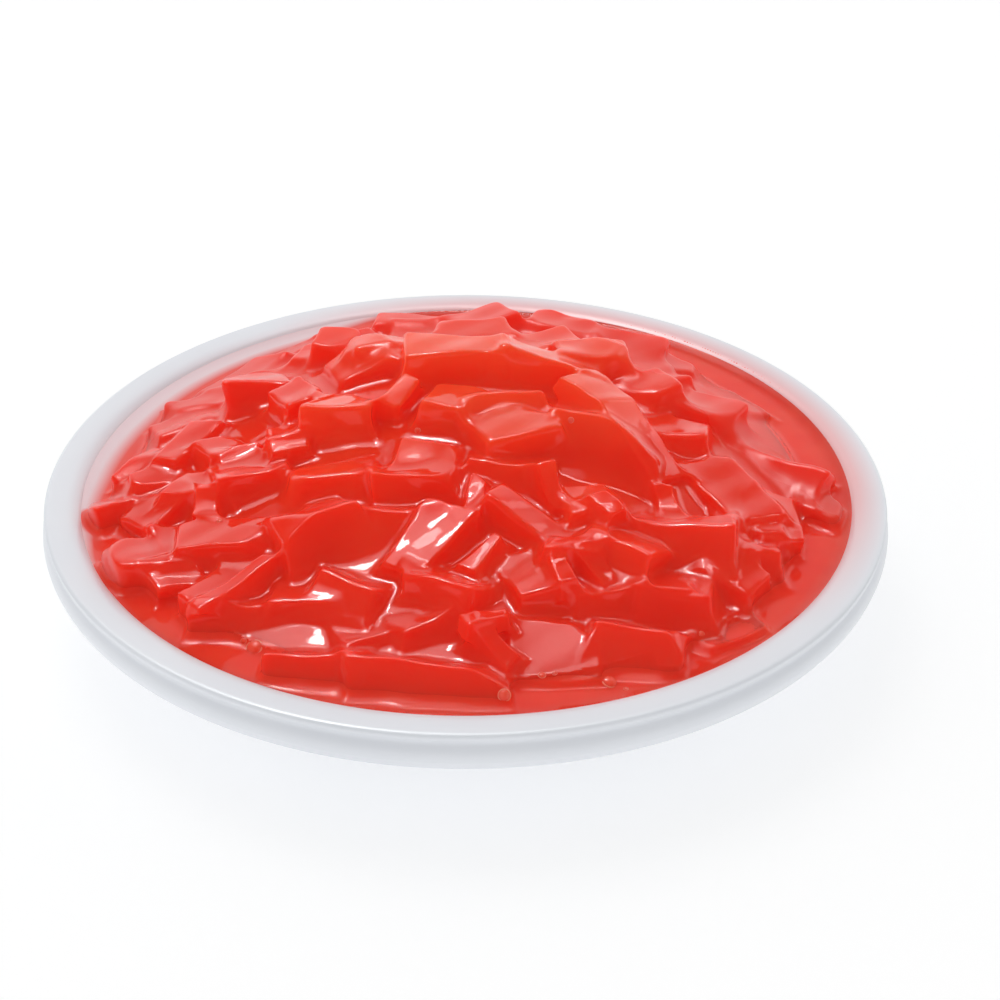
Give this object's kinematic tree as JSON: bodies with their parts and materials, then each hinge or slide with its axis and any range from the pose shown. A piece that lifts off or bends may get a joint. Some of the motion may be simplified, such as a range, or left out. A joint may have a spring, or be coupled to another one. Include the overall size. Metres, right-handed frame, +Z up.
{
  "type": "cut jelly in syrup in a shallow dish",
  "caption": "Shallow round white dish filled with thick red syrup and a low uneven heap of irregular cut red jelly pieces.",
  "frame": {"origin": "centre of the foot ring, on the surface the dish stands on", "axes": "+Z up; -Y is the side from which the heap's long front slope shows, +Y its steeper back"},
  "size_m": [0.1598, 0.1598, 0.0466],
  "materials": {
    "glazed_dish": "glossy white glaze",
    "red_syrup": "wet gloss",
    "red_jelly": "wet gloss"
  },
  "bodies": {
    "root": {"plate": "glazed_dish", "syrup": "red_syrup", "jelly_heap": "red_jelly"}
  },
  "joints": []
}
